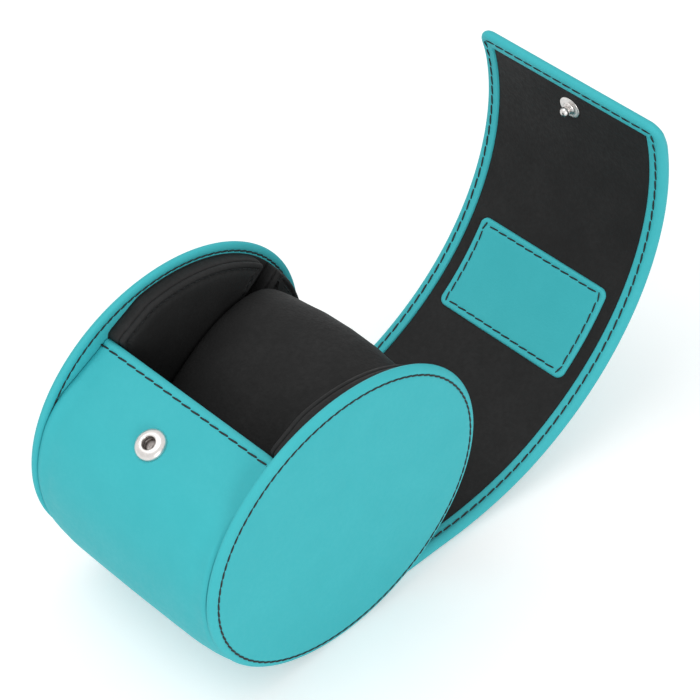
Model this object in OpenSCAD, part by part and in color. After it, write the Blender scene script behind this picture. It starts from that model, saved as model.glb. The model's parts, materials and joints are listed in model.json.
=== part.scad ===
// Watch travel case: a short roll with two oval end discs, a fixed front wall and a long curved flap.
// Coordinates: X runs along the roll, Y runs from the front wall to the flap, Z is up and zero on the table.
// The flap is drawn lying open. It is five curved panels that fold about lines on their lining side.

/* [End discs] */
// Length of the oval disc, front to back, mm
disc_len = 100; // [96:1:104]
// Height of the oval disc, mm
disc_high = 91.4; // [89:0.2:94]
// Thickness of a disc, mm
disc_t = 3.2; // [2.8:0.1:5]
// Thickness of the outer leather of a disc, mm
disc_skin = 1.1; // [0.6:0.1:1.2]
// Thickness of the board inside a disc, mm
disc_board_t = 1.2; // [0.8:0.1:1.5]
// Width of the leather turned over to the inner side of a disc, mm
disc_turn = 5.2; // [4:0.2:8]
// Distance between the inner sides of the two discs, mm
body_w = 68.2; // [62:0.2:90]

/* [End pads] */
// Thickness of an end pad, mm
pad_t = 6; // [4:0.5:8]
// Distance of the pad rim inside the disc edge, mm
pad_in = 4.4; // [4.4:0.1:6]
// Radius of the rounded rim of a pad, mm
pad_rim = 3.5; // [3:0.1:4]
// Depth of the step between the rim and the raised face of a pad, mm
pad_step_in = 1.5; // [1:0.1:2]
// Gap between the main pad and the back pad, mm
pad_gap = 3; // [2:0.5:5]
// Direction of the gap seen from the disc centre, degrees above the table
pad_gap_dir = 41; // [35:1:50]
// Direction of the lower end of the back pad, degrees below the table
pad_low_dir = 50; // [30:1:60]

/* [Front wall] */
// Distance of the wall surface inside the disc edge, mm
wall_in = 0.8; // [0.6:0.1:1.2]
// Slope of the flat upper part of the wall, degrees
wall_slope = 28.2; // [26:0.2:31]
// Length of the flat part from the top edge to the bend, mm
wall_flat_len = 16.1; // [15:0.1:18]
// Distance of the bend centre behind the front of the disc, mm
wall_bend_in = 24.2; // [24:0.1:24.4]
// Distance of the bend centre below the top of the disc, mm
wall_bend_low = 38.65; // [38.45:0.05:38.85]
// Radius of the bend below the flat part, mm
wall_bend_r = 22.2; // [22.1:0.1:22.3]
// Thickness of the wall leather, mm
wall_skin = 1.3; // [1:0.1:1.6]
// Thickness of the wall board, mm
wall_board_t = 1.2; // [1:0.1:1.6]
// Thickness of the wall lining, mm
wall_lining_t = 0.9; // [0.6:0.1:1.2]
// Distance of the fold line of the flap behind the disc centre, mm
fold_y = 20; // [18:0.5:22]

/* [Flap] */
// Thickness of the flap, mm
flap_t = 4.2; // [3.6:0.1:4.4]
// Thickness of the outer leather of the flap, mm
flap_skin = 1.3; // [1:0.1:1.5]
// Thickness of the lining and of the turned hem, mm
flap_lining_t = 1; // [0.8:0.1:1.2]
// Gap between the flap and each disc, mm
flap_side_gap = 0.6; // [0.5:0.1:2]
// Width of the turned hem on the lining side, mm
hem_w = 4.4; // [3:0.1:6]
// Length of the first panel, which lies on the table, mm
panel_1 = 24.8; // [23:0.1:27]
// Length of the second panel, mm
panel_2 = 28.9; // [27:0.1:31]
// Length of the third panel, mm
panel_3 = 28.9; // [27:0.1:31]
// Length of the fourth panel, which carries the patch, mm
panel_4 = 34.5; // [33:0.1:36]
// Length of the last panel, mm
panel_5 = 62.2; // [60:0.1:64]
// Lining radius of the second and third panels, mm
curve_low = 86.2; // [84:0.2:90]
// Lining radius of the fourth and last panels, mm
curve_high = 73.5; // [72:0.1:75]
// Angle at which the first panel slopes down to the table, degrees
panel_tilt = 1.8; // [1.6:0.1:2]
// Gap between two panels at a fold, mm
fold_gap = 0.1; // [0.1:0.05:0.2]
// Radius of the two free corners of the flap, mm
tip_r = 7; // [4:0.5:10]

/* [Patch] */
// Width of the patch, mm
patch_w = 50; // [30:1:54]
// Height of the patch, mm
patch_h = 30.4; // [20:0.2:31]
// Thickness of the patch, mm
patch_t = 0.8; // [0.5:0.1:1]
// Corner radius of the patch, mm
patch_r = 2.5; // [1:0.5:4]
// Distance of the patch centre from the free edge, mm
patch_at = 79.8; // [78.4:0.2:80.4]

/* [Snap fastener] */
// Distance of the stud from the free edge of the flap, mm
stud_at = 12.5; // [11.5:0.1:14]
// Radius of the stud flange, mm
stud_flange_r = 3.3; // [2.6:0.1:4]
// Radius of the ring round the stud neck, mm
stud_ring_r = 1.5; // [1.2:0.1:1.6]
// Radius of the stud neck, mm
stud_neck_r = 0.9; // [0.7:0.1:1]
// Radius of the stud ball, mm
stud_ball_r = 1.25; // [1.1:0.05:1.3]
// Height of the ball centre above the lining, mm
stud_ball_h = 1.9; // [1.7:0.1:2]
// Distance of the socket below the top edge of the wall, mm
socket_at = 16; // [15:0.1:16]
// Radius of the socket dome, mm
socket_r = 4.6; // [4:0.1:5.5]
// Height of the socket dome above the wall, mm
socket_h = 1.9; // [1.6:0.1:2]
// Radius of the socket hole, mm
socket_hole_r = 1.9; // [1.9:0.05:2.2]
// Radius of the socket barrel that passes through the wall, mm
barrel_r = 2.7; // [2.5:0.1:3]

/* [Pillow] */
// Long half axis of the pillow section at its ends, mm
pillow_a = 30.5; // [28:0.5:31]
// Short half axis of the pillow section at its ends, mm
pillow_b = 20.5; // [18:0.5:22]
// How much fuller the pillow is at mid length, mm
pillow_crown = 2.2; // [1:0.1:3]
// Tilt of the long axis, degrees
pillow_tilt = 38.7; // [35:0.1:42]
// Pillow centre behind the disc centre, mm
pillow_y = 10.3; // [8:0.1:12]
// Thickness of the pillow cover, mm
pillow_skin = 1.2; // [0.8:0.1:2]

/* [Hidden] */
$fn = 96;
far = 90;
half_high = disc_high / 2;
half_len = disc_len / 2;
xi = body_w / 2;
wall_t = wall_skin + wall_board_t + wall_lining_t;
ws = sin(wall_slope);
wc = cos(wall_slope);
// centre of the bend in the wall: its circle stands a little proud of the flat part and of the oval
bend_over = 0.1;
bend_y = -half_len + wall_bend_in;
bend_z = half_high - wall_bend_low;
bend_s = bend_y * wc + bend_z * ws;
bend_n = -bend_y * ws + bend_z * wc;
// distance of the flat part from the disc centre
wall_flat = bend_n + wall_bend_r - bend_over;
top_s = bend_s + wall_flat_len;
edge_r = wall_t / 2;
// the flap panels: lengths, curvatures, start headings and start points on the lining side
flap_half = xi - flap_side_gap;
lens = [panel_1, panel_2, panel_3, panel_4, panel_5];
radii = [0, curve_low, curve_low, curve_high, curve_high];
turns = [0, panel_2 / curve_low, panel_3 / curve_low, panel_4 / curve_high, panel_5 / curve_high] * (180 / PI);
start_z = -(half_high - wall_in) + flap_t;
function head(i) = (i == 0) ? -panel_tilt : head(i - 1) + turns[i - 1];
function step_flat(i) = lens[i] * [cos(head(i)), sin(head(i))];
function step_arc(i) = radii[i] * [sin(head(i + 1)) - sin(head(i)), cos(head(i)) - cos(head(i + 1))];
function step(i) = (radii[i] == 0) ? step_flat(i) : step_arc(i);
function joint_at(i) = (i == 0) ? [fold_y, start_z] : joint_at(i - 1) + step(i - 1);
function arc_c(i) = joint_at(i) + radii[i] * [-sin(head(i)), cos(head(i))];
// point and heading on the lining of the last two panels, counted back from the free edge
function back_a(d) = head(5) - d / curve_high * 180 / PI;
function back_p(d) = arc_c(4) + curve_high * [sin(back_a(d)), -cos(back_a(d))];
top_y = arc_c(4)[0] + curve_high + flap_t;
mid_y = (top_y - half_len) / 2;
pad_x = xi - pad_t;
// the wall ends clear of the flap's lower corner, which leans back over the fold line
wall_end = fold_y - fold_gap / 2 - flap_t * sin(panel_tilt);

function wall_pt(s, n) = [s * wc - n * ws, s * ws + n * wc];
function bend_pt(a, r) = [bend_y + r * cos(a), bend_z + r * sin(a)];
// direction in which the bend meets the oval
bend_end = 156;

// ---- placing ----
module place() {
    translate([0, -mid_y, half_high])
        children();
}

// a section drawn in Y and Z, made solid between two X values
module prism(x0, x1) {
    translate([x0, 0, 0])
        rotate([90, 0, 90])
            linear_extrude(x1 - x0)
                children();
}

// ---- sections ----
module wedge(a0, a1) {
    am = (a0 + a1) / 2;
    polygon([[0, 0], far * [cos(a0), sin(a0)], 1.4 * far * [cos(am), sin(am)], far * [cos(a1), sin(a1)]]);
}

module ring_part(r0, r1, a0, a1) {
    intersection() {
        difference() {
            circle(r1);
            circle(r0);
        }
        wedge(a0, a1);
    }
}

module oval(inset) {
    scale([(half_len - inset) / (half_high - inset), 1])
        circle(half_high - inset);
}

// a frame on the flat part of the wall: first axis along it, second axis square to it
module on_wall(s, n) {
    translate([s * wc - n * ws, s * ws + n * wc])
        rotate(wall_slope)
            children();
}

// section of everything behind the wall's surface, at a depth below it
module drum(d) {
    intersection() {
        oval(wall_in + d);
        on_wall(-far, wall_flat - d - 2 * far)
            square([2 * far, 2 * far]);
        union() {
            translate([bend_y, bend_z])
                circle(wall_bend_r - d);
            polygon([[far, -far], [-far, -far], bend_pt(bend_end, 2 * far), bend_pt(0, 0), bend_pt(90 + wall_slope, far), [far, far]]);
        }
    }
}

wall_zone = [
    [0, -far],
    [-far, -far],
    [-far, far / 2],
    wall_pt(top_s, wall_flat + 20),
    wall_pt(top_s, wall_flat - 12),
    [-20, 0],
    [0, -20]
];

// one layer of the front wall between two depths below its surface
module wall_layer(d0, d1) {
    intersection() {
        difference() {
            drum(d0);
            drum(d1);
        }
        polygon(wall_zone);
    }
    translate([0, -half_high + wall_in + d0])
        square([wall_end, d1 - d0]);
}

// ---- end discs ----
disc_lining_t = disc_t - disc_skin - disc_board_t;

module disc_leather() {
    difference() {
        intersection() {
            prism(xi - 1, xi + disc_t + 1)
                oval(0);
            translate([xi, -far, -far])
                cube([disc_t, 2 * far, 2 * far]);
        }
        prism(xi + disc_lining_t, xi + disc_t - disc_skin)
            oval(disc_skin);
        prism(xi - 1, xi + disc_lining_t)
            oval(disc_turn);
    }
}

module disc_board() {
    prism(xi + disc_lining_t, xi + disc_t - disc_skin)
        oval(disc_skin);
}

module disc_lining() {
    prism(xi, xi + disc_lining_t)
        oval(disc_turn);
}

// ---- end pads ----
module pad_profile(r) {
    square([r - pad_step_in, pad_t]);
    intersection() {
        translate([r - pad_rim, pad_t])
            circle(pad_rim);
        square([r + 1, pad_t]);
    }
}

module pad_round() {
    translate([pad_x, 0, 0])
        rotate([90, 0, 90])
            scale([(half_len - pad_in) / (half_high - pad_in), 1, 1])
                rotate_extrude()
                    pad_profile(half_high - pad_in);
}

pad_n = wall_flat - wall_t - 0.1;
pad_bend_r = wall_bend_r - wall_t - 0.25;
pad_step = edge_r + 0.2;
// outline that keeps the pad inside the wall and flattens it above the wall
pad_cut = [
    [far, -far],
    [far, far],
    wall_pt(top_s + 30, wall_flat + 6.4),
    wall_pt(top_s + 10.5, wall_flat + 1.6),
    wall_pt(top_s + pad_step, wall_flat),
    wall_pt(top_s + pad_step, pad_n),
    wall_pt(bend_s + 1, pad_n),
    bend_pt(127, pad_bend_r),
    bend_pt(138, pad_bend_r),
    bend_pt(149, pad_bend_r),
    bend_pt(160, pad_bend_r),
    [-far, -5],
    [-far, -far]
];

module pad() {
    difference() {
        intersection() {
            pad_round();
            prism(pad_x - 1, xi + 1)
                polygon(pad_cut);
        }
        prism(pad_x - 2, xi + 2)
            rotate(pad_gap_dir)
                translate([10, -far])
                    square([far, far + pad_gap / 2]);
    }
}

module pad_back() {
    intersection() {
        pad_round();
        prism(pad_x - 1, xi + 1)
            intersection() {
                rotate(pad_gap_dir)
                    translate([10 + pad_gap, -far - pad_gap / 2])
                        square([far, far]);
                rotate(-pad_low_dir)
                    translate([0, 0])
                        square([far, far]);
            }
    }
}

// ---- front wall ----
module snap_hole(r, d0, d1) {
    p = wall_pt(top_s - socket_at, wall_flat - d1);
    translate([0, p[0], p[1]])
        rotate([wall_slope, 0, 0])
            cylinder(h = d1 - d0, r = r);
}

module wall_leather_shape() {
    difference() {
        prism(-xi, xi)
            wall_layer(0, wall_skin);
        snap_hole(barrel_r, -1, wall_skin + 1);
    }
}

rivet_r = barrel_r + 1.4;
rivet_t = 0.6;

module wall_board_shape() {
    difference() {
        prism(-xi, xi)
            wall_layer(wall_skin, wall_skin + wall_board_t);
        snap_hole(barrel_r, wall_skin - 1, wall_t);
        snap_hole(rivet_r, wall_skin + wall_board_t - rivet_t, wall_t);
    }
}

module wall_lining_shape() {
    prism(-xi, xi)
        wall_layer(wall_skin + wall_board_t, wall_t);
}

module wall_edge_shape() {
    prism(-xi, xi)
        on_wall(top_s, wall_flat - edge_r)
            intersection() {
                circle(edge_r);
                translate([0, -far])
                    square([far, 2 * far]);
            }
}

// ---- snap socket ----
module on_snap() {
    p = wall_pt(top_s - socket_at, wall_flat);
    translate([0, p[0], p[1]])
        rotate([wall_slope, 0, 0])
            children();
}

dome_cap = 0.7;
dome_ball_r = (socket_r * socket_r + (socket_h - dome_cap) * (socket_h - dome_cap)) / (2 * (socket_h - dome_cap));
spring_r = 0.3;
spring_z = 0.5;

module socket_cap_shape() {
    on_snap()
        difference() {
            union() {
                cylinder(h = dome_cap, r = socket_r);
                intersection() {
                    translate([0, 0, socket_h - dome_ball_r])
                        sphere(dome_ball_r);
                    translate([0, 0, dome_cap])
                        cylinder(h = socket_h, r = socket_r);
                }
            }
            translate([0, 0, -1])
                cylinder(h = socket_h + 2, r = socket_hole_r);
            translate([0, 0, -1])
                cylinder(h = 1 + spring_z + 2 * spring_r, r = barrel_r + 0.4);
        }
}

module socket_spring_shape() {
    on_snap()
        translate([0, 0, spring_z])
            rotate_extrude()
                translate([socket_hole_r + spring_r + 0.1, 0])
                    circle(spring_r);
}

barrel_low = wall_skin + wall_board_t;

module socket_barrel_shape() {
    on_snap()
        difference() {
            union() {
                translate([0, 0, -barrel_low])
                    cylinder(h = barrel_low + spring_z - spring_r, r = barrel_r);
                translate([0, 0, -barrel_low])
                    cylinder(h = rivet_t, r = rivet_r);
            }
            translate([0, 0, -barrel_low + rivet_t])
                cylinder(h = barrel_low + 1, r = socket_hole_r + 0.1);
        }
}

// ---- flap ----
// a band that follows panel i, from depth d0 to depth d1 behind its lining face
module band(i, d0, d1) {
    trim = fold_gap / 2 / max(radii[i], 1) * 180 / PI;
    last = (i == 4) ? 0 : 1;
    if (radii[i] == 0) {
        translate(joint_at(i))
            rotate(head(i))
                translate([fold_gap / 2, -d1])
                    square([lens[i] - fold_gap, d1 - d0]);
    } else {
        translate(arc_c(i))
            ring_part(radii[i] + d0, radii[i] + d1, head(i) - 90 + trim, head(i + 1) - 90 - last * trim);
    }
}

module free_corners(inset) {
    a = head(5);
    p = joint_at(5);
    w = flap_half - inset;
    r = max(tip_r - inset, 0.5);
    translate([0, p[0], p[1]])
        rotate([a, 0, 0])
            translate([0, -inset, -15])
                for (m = [0, 1])
                    mirror([m, 0, 0])
                        difference() {
                            translate([w - r, -r, 0])
                                cube([r + 2, r + 2, 30]);
                            translate([w - r, -r, -1])
                                cylinder(h = 32, r = r);
                        }
}

lining_half = flap_half - hem_w;
board_half = flap_half - flap_skin;

// the far end of the last panel, left out of its inner layers
module end_strip(d) {
    a = head(5);
    p = joint_at(5);
    translate([0, p[0], p[1]])
        rotate([a, 0, 0])
            translate([-far, -d, -15])
                cube([2 * far, far, 30]);
}

module flap_inside(i, w, d0, d1, d_end) {
    difference() {
        prism(-w, w)
            band(i, d0, d1);
        if (i == 4) {
            end_strip(d_end);
            if (w > lining_half)
                free_corners(d_end);
        }
    }
}

module flap_lining(i) {
    flap_inside(i, lining_half, 0, flap_lining_t, hem_w);
}

module flap_board(i) {
    difference() {
        flap_inside(i, board_half, flap_lining_t, flap_t - flap_skin, flap_skin);
        if (i == 4)
            on_stud()
                translate([0, 0, -flap_lining_t - stud_rivet_t])
                    cylinder(h = stud_rivet_t, r = stud_rivet_r);
    }
}

module flap_leather(i) {
    difference() {
        prism(-flap_half, flap_half)
            band(i, 0, flap_t);
        if (i == 4)
            free_corners(0);
        flap_inside(i, board_half, flap_lining_t, flap_t - flap_skin, flap_skin);
        difference() {
            prism(-lining_half, lining_half)
                band(i, -1, flap_lining_t);
            if (i == 4)
                end_strip(hem_w);
        }
    }
}

// ---- stud ----
stud_rivet_r = 2.8;
stud_rivet_t = 0.5;
stud_flange_t = 0.5;
stud_flange_low = 0.2;

module on_stud() {
    p = back_p(stud_at);
    translate([0, p[0], p[1]])
        rotate([back_a(stud_at), 0, 0])
            children();
}

stud_pin_r = 0.7;

module stud_shape() {
    on_stud() {
        translate([0, 0, -stud_flange_low])
            cylinder(h = stud_flange_low + stud_flange_t, r = stud_flange_r);
        translate([0, 0, stud_flange_t - 0.1])
            cylinder(h = 0.5, r = stud_ring_r);
        cylinder(h = stud_ball_h, r = stud_neck_r);
        translate([0, 0, stud_ball_h])
            sphere(stud_ball_r);
    }
}

module stud_rivet_shape() {
    on_stud() {
        translate([0, 0, -flap_lining_t - stud_rivet_t])
            cylinder(h = stud_rivet_t, r = stud_rivet_r);
        translate([0, 0, -flap_lining_t - 0.1])
            cylinder(h = flap_lining_t + 0.1 - stud_flange_low, r = stud_pin_r);
    }
}

module lining_last() {
    difference() {
        flap_lining(4);
        on_stud()
            translate([0, 0, -stud_flange_low])
                cylinder(h = 3, r = stud_flange_r);
        on_stud()
            translate([0, 0, -3])
                cylinder(h = 4, r = stud_pin_r);
    }
}

// ---- patch ----
corner_steps = 6;
corner_signs = [[1, 1], [-1, 1], [-1, -1], [1, -1]];
patch_outline = [
    for (q = [0 : 3])
        for (k = [0 : corner_steps])
            let (a = q * 90 + k * 90 / corner_steps)
                [
                    corner_signs[q][0] * (patch_w / 2 - patch_r) + patch_r * cos(a),
                    corner_signs[q][1] * (patch_h / 2 - patch_r) + patch_r * sin(a)
                ]
];

module patch_shape() {
    p = back_p(patch_at);
    intersection() {
        prism(-flap_half, flap_half)
            translate(arc_c(3))
                ring_part(curve_high - patch_t, curve_high, head(3) - 90, head(4) - 90);
        translate([0, p[0], p[1]])
            rotate([back_a(patch_at), 0, 0])
                translate([0, 0, -8])
                    linear_extrude(16)
                        polygon(patch_outline);
    }
}

// ---- pillow ----
pillow_half = pad_x;
pillow_n = 32;
pillow_rows = [
    [-1, -4.2], [-0.985, -2.2], [-0.95, -0.9], [-0.88, 0], [-0.66, 0.4],
    [-0.33, 0.86], [0, 1], [0.33, 0.86], [0.66, 0.4],
    [0.88, 0], [0.95, -0.9], [0.985, -2.2], [1, -4.2]
];
function pillow_grow(v) = (v > 0) ? v * pillow_crown : v;
function power(v, e) = sign(v) * pow(abs(v), e);
function pillow_ring(x, g) = [
    for (k = [0 : pillow_n - 1])
        let (q = k * 360 / pillow_n)
            [x, (pillow_a + g) * power(cos(q), 0.88), (pillow_b + g) * power(sin(q), 0.88)]
];
function pillow_pts(skin) = [
    for (r = pillow_rows)
        each pillow_ring(r[0] * (pillow_half - skin), pillow_grow(r[1]) - skin)
];
pillow_last = len(pillow_rows) - 1;
pillow_faces = concat(
    [[for (k = [0 : pillow_n - 1]) k]],
    [[for (k = [0 : pillow_n - 1]) pillow_last * pillow_n + pillow_n - 1 - k]],
    [
        for (j = [0 : pillow_last - 1])
            for (k = [0 : pillow_n - 1])
                let (m = (k + 1) % pillow_n)
                    [j * pillow_n + k, (j + 1) * pillow_n + k, (j + 1) * pillow_n + m, j * pillow_n + m]
    ]
);

module pillow_form(skin) {
    translate([0, pillow_y, 0])
        rotate([pillow_tilt, 0, 0])
            polyhedron(pillow_pts(skin), pillow_faces);
}

module pillow_cover_shape() {
    difference() {
        pillow_form(0);
        pillow_form(pillow_skin);
    }
}

module pillow_core_shape() {
    pillow_form(pillow_skin);
}

// ---- nodes ----
teal = [0.29, 0.75, 0.78];
dark = [0.16, 0.16, 0.16];
card = [0.62, 0.55, 0.45];
steel = [0.8, 0.8, 0.8];
foam = [0.75, 0.75, 0.72];

module side(m) {
    place()
        mirror([m, 0, 0])
            children();
}

module disc_leather_right() {
    color(teal)
        side(0)
            disc_leather();
}

module disc_leather_left() {
    color(teal)
        side(1)
            disc_leather();
}

module disc_board_right() {
    color(card)
        side(0)
            disc_board();
}

module disc_board_left() {
    color(card)
        side(1)
            disc_board();
}

module disc_lining_right() {
    color(dark)
        side(0)
            disc_lining();
}

module disc_lining_left() {
    color(dark)
        side(1)
            disc_lining();
}

module pad_right() {
    color(dark)
        side(0)
            pad();
}

module pad_left() {
    color(dark)
        side(1)
            pad();
}

module pad_back_right() {
    color(dark)
        side(0)
            pad_back();
}

module pad_back_left() {
    color(dark)
        side(1)
            pad_back();
}

module wall_leather() {
    color(teal)
        place()
            wall_leather_shape();
}

module wall_board() {
    color(card)
        place()
            wall_board_shape();
}

module wall_lining() {
    color(dark)
        place()
            wall_lining_shape();
}

module wall_edge() {
    color(teal)
        place()
            wall_edge_shape();
}

module socket_cap() {
    color(steel)
        place()
            socket_cap_shape();
}

module socket_spring() {
    color(steel)
        place()
            socket_spring_shape();
}

module socket_barrel() {
    color(steel)
        place()
            socket_barrel_shape();
}

module pillow_cover() {
    color(dark)
        place()
            pillow_cover_shape();
}

module pillow_core() {
    color(foam)
        place()
            pillow_core_shape();
}

module flap_leather_1() {
    color(teal)
        place()
            flap_leather(0);
}

module flap_board_1() {
    color(card)
        place()
            flap_board(0);
}

module flap_lining_1() {
    color(dark)
        place()
            flap_lining(0);
}

module flap_leather_2() {
    color(teal)
        place()
            flap_leather(1);
}

module flap_board_2() {
    color(card)
        place()
            flap_board(1);
}

module flap_lining_2() {
    color(dark)
        place()
            flap_lining(1);
}

module flap_leather_3() {
    color(teal)
        place()
            flap_leather(2);
}

module flap_board_3() {
    color(card)
        place()
            flap_board(2);
}

module flap_lining_3() {
    color(dark)
        place()
            flap_lining(2);
}

module flap_leather_4() {
    color(teal)
        place()
            flap_leather(3);
}

module flap_board_4() {
    color(card)
        place()
            flap_board(3);
}

module flap_lining_4() {
    color(dark)
        place()
            flap_lining(3);
}

module flap_leather_5() {
    color(teal)
        place()
            flap_leather(4);
}

module flap_board_5() {
    color(card)
        place()
            flap_board(4);
}

module flap_lining_5() {
    color(dark)
        place()
            lining_last();
}

module patch() {
    color(teal)
        place()
            patch_shape();
}

module stud() {
    color(steel)
        place()
            stud_shape();
}

module stud_rivet() {
    color(steel)
        place()
            stud_rivet_shape();
}

disc_leather_right();
disc_leather_left();
disc_board_right();
disc_board_left();
disc_lining_right();
disc_lining_left();
pad_right();
pad_left();
pad_back_right();
pad_back_left();
wall_leather();
wall_board();
wall_lining();
wall_edge();
socket_cap();
socket_spring();
socket_barrel();
pillow_cover();
pillow_core();
flap_leather_1();
flap_board_1();
flap_lining_1();
flap_leather_2();
flap_board_2();
flap_lining_2();
flap_leather_3();
flap_board_3();
flap_lining_3();
flap_leather_4();
flap_board_4();
flap_lining_4();
flap_leather_5();
flap_board_5();
flap_lining_5();
patch();
stud();
stud_rivet();
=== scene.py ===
"""Looks of the watch travel case: leather, linings, pads, pillow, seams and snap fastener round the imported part.

Shapes are worked out in millimetres round the centre of the end discs: X along the roll, Y from the front
wall to the flap, Z up. put() turns them into metres in the row frame.
"""

import json
import math

import bmesh
import bpy
import numpy as np
from mathutils import Matrix, Vector


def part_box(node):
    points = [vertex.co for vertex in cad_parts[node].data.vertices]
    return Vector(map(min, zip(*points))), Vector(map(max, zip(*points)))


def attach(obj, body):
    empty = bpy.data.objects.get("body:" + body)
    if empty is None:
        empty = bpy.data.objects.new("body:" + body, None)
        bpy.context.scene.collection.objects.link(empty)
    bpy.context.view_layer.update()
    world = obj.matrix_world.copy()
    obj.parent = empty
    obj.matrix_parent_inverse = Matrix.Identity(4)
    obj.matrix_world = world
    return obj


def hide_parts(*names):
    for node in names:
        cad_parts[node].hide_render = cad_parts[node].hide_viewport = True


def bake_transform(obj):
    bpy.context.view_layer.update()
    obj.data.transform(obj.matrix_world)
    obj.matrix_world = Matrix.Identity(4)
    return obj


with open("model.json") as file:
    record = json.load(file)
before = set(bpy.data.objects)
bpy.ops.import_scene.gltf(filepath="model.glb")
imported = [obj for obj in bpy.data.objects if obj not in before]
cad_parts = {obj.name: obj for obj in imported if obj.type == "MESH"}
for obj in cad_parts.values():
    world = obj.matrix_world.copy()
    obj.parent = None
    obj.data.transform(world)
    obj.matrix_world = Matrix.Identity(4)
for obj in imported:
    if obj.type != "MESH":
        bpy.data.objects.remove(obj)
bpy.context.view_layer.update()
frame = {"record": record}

MM = 0.001

# ---- sizes read from the frame, mm ----
# the soft hem stands this much wider than its solid
HEM_FULL = 0.5
disc_low, disc_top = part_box("disc_leather_right")
CENTRE = np.array([0.0, (disc_low.y + disc_top.y) / 2, (disc_low.z + disc_top.z) / 2])
XI = disc_low.x / MM
DISC_T = (disc_top.x - disc_low.x) / MM
HALF_LEN = (disc_top.y - disc_low.y) / 2 / MM
HALF_HIGH = (disc_top.z - disc_low.z) / 2 / MM
PAD_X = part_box("pad_right")[0].x / MM
FLAP_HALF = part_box("flap_leather_2")[1].x / MM + HEM_FULL
PATCH_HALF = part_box("patch")[1].x / MM

JOINTS = {j["child"]: j for j in frame["record"]["behaviour"]["joints"]}
PANELS = ["panel_1", "panel_2", "panel_3", "panel_4", "panel_5"]
HINGES = [(np.array(JOINTS[p]["pos_m"]) - CENTRE)[1:] / MM for p in PANELS]

# ---- driving sizes, mm ----
WALL_T = 3.4
FLAP_T = 4.2
HEM_W = 4.9
FLAP_FLARE = 0.3
TIP_R = 4.6
TIP_THIN = 1.35
FOOT_THIN = 0.7
LINING_STEP = 0.35
PANEL_LENGTHS = [24.8, 28.9, 28.9, 34.5, 62.2]
PANEL_RADII = [0, 86.2, 86.2, 73.5, 73.5]
PANEL_TILT = -1.8
WALL_SLOPE = 28.2
WALL_IN = 0.8
BEND_R = 22.2
BEND_IN = 24.2
BEND_LOW = 38.65
BEND_Y = -HALF_LEN + BEND_IN
BEND_Z = HALF_HIGH - BEND_LOW
SLOPE = math.radians(WALL_SLOPE)
BEND_S = BEND_Y * math.cos(SLOPE) + BEND_Z * math.sin(SLOPE)
BEND_N = BEND_Z * math.cos(SLOPE) - BEND_Y * math.sin(SLOPE)
WALL_FLAT = BEND_N + BEND_R - 0.1
BEND_END = 158.0
WALL_FLAT_LEN = 15.35
WALL_TOP = BEND_S + WALL_FLAT_LEN + WALL_T / 2
SOCKET_AT = 14.75
STUD_AT = 12.5
SNAP_X = -0.5
PATCH_AT = 79.8
PATCH_H = 30.4
PATCH_T = 0.8
STITCH_IN = 2.6
STITCH_PITCH = 3.7
DISC_PITCH = 2.7
PAD_PITCH = 2.3
PATCH_PITCH = 3.6
# how far the leather of the wall stands out: over its whole front, low down and at its belly, and how far it
# dips beside the discs and in the crease against them
WALL_FULL = 0.45
WALL_LOW = 0.65
WALL_BELLY = 1.5
WALL_VALLEY = 0.35
WALL_TUCK = 0.5
# the leather sinks this far under the socket
SOCKET_SINK = 2.0
# and the socket's seat stands this far over the wall's line
SOCKET_PROUD = 0.25


# ---- colours and materials ----
def srgb(r, g, b):
    """Linear colour of an 8-bit screen colour."""

    def channel(v):
        v /= 255
        return v / 12.92 if v <= 0.04045 else ((v + 0.055) / 1.055) ** 2.4

    return (channel(r), channel(g), channel(b), 1.0)


def new_material(name):
    material = bpy.data.materials.new(name)
    material.use_nodes = True
    nodes, links = material.node_tree.nodes, material.node_tree.links
    return material, nodes, links, nodes["Principled BSDF"]


def noise(nodes, links, coords, scale, detail=4.0, rough=0.55):
    node = nodes.new("ShaderNodeTexNoise")
    node.inputs["Scale"].default_value = scale
    node.inputs["Detail"].default_value = detail
    node.inputs["Roughness"].default_value = rough
    links.new(coords, node.inputs["Vector"])
    return node.outputs["Fac"]


def ramp(nodes, links, value, low, high, a, b):
    node = nodes.new("ShaderNodeMapRange")
    node.inputs["From Min"].default_value = low
    node.inputs["From Max"].default_value = high
    node.inputs["To Min"].default_value = a
    node.inputs["To Max"].default_value = b
    links.new(value, node.inputs["Value"])
    return node.outputs["Result"]


def mix(nodes, links, fac, a, b):
    node = nodes.new("ShaderNodeMix")
    node.data_type = "RGBA"
    links.new(fac, node.inputs["Factor"])
    for socket, value in ((node.inputs["A"], a), (node.inputs["B"], b)):
        if isinstance(value, tuple):
            socket.default_value = value
        else:
            links.new(value, socket)
    return node.outputs["Result"]


def bump(nodes, links, height, strength, distance, below=None):
    node = nodes.new("ShaderNodeBump")
    node.inputs["Strength"].default_value = strength
    node.inputs["Distance"].default_value = distance
    links.new(height, node.inputs["Height"])
    if below is not None:
        links.new(below, node.inputs["Normal"])
    return node.outputs["Normal"]


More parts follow.
